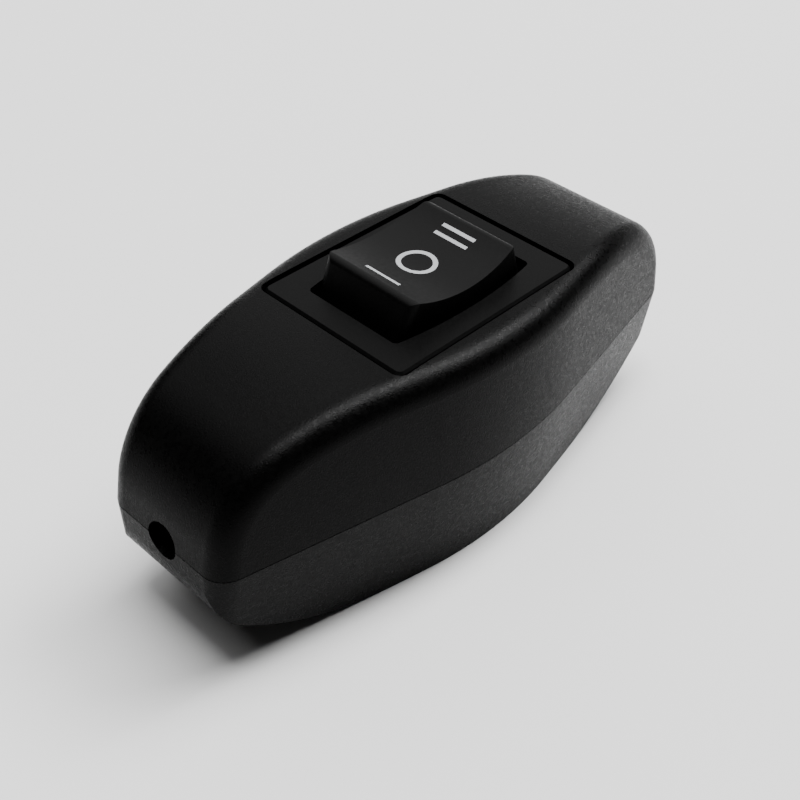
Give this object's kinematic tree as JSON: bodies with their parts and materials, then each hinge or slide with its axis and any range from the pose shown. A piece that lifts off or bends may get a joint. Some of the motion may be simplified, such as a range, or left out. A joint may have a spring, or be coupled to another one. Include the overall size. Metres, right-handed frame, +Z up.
{
  "type": "inline cord rocker switch",
  "caption": "Boat shaped two part housing for use in a cord, with a three position rocker switch in its top and a round cord hole at each end.",
  "frame": {"origin": "centre of the flat underside", "axes": "+X along the cord towards the end of the rocker marked II, +Y across it, +Z up"},
  "size_m": [0.0852, 0.0352, 0.0377],
  "materials": {
    "housing_plastic": "fine spark eroded grain",
    "switch_plastic": "smooth satin",
    "rocker_plastic": "smooth satin",
    "screw_steel": "zinc plated",
    "plunger_steel": "turned",
    "spring_steel": "drawn wire",
    "terminal_brass": "stamped",
    "lever_copper": "stamped copper alloy",
    "contact_silver": "silver rivet"
  },
  "bodies": {
    "housing": {"upper_shell": "housing_plastic", "lower_shell": "housing_plastic", "housing_screws": "screw_steel", "cord_clamp_near": "housing_plastic", "cord_clamp_far": "housing_plastic", "clamp_screws": "screw_steel", "neutral_terminal": "terminal_brass", "neutral_screws": "screw_steel", "switch_frame": "switch_plastic", "common_terminal": "terminal_brass", "terminal_one": "terminal_brass", "terminal_two": "terminal_brass", "fixed_contact_one": "contact_silver", "fixed_contact_two": "contact_silver"},
    "rocker": {"rocker": "rocker_plastic"},
    "plunger": {"rocker_plunger": "plunger_steel", "plunger_spring": "spring_steel"},
    "lever": {"contact_lever": "lever_copper", "lever_contact_one": "contact_silver", "lever_contact_two": "contact_silver"}
  },
  "joints": [
    {"name": "rocker_tilt", "type": "hinge", "parent": "housing", "child": "rocker", "pos_m": [0, 0, 0.0297], "axis": [0, 1, 0], "range_deg": [-12, 12]},
    {"name": "plunger_slide", "type": "slide", "parent": "rocker", "child": "plunger", "axis": [0, 0, 1], "range_m": [0, 0.0008], "stiffness_N_per_m": 150, "springref_m": -0.001, "deforming": ["plunger_spring"]},
    {"name": "lever_tilt", "type": "hinge", "parent": "housing", "child": "lever", "pos_m": [0, 0, 0.02], "axis": [0, 1, 0], "range_deg": [-9.6, 9.6]}
  ],
  "couplings": [
    {"joint": "lever_tilt", "follows": "rocker_tilt", "ratio": -0.8}
  ]
}
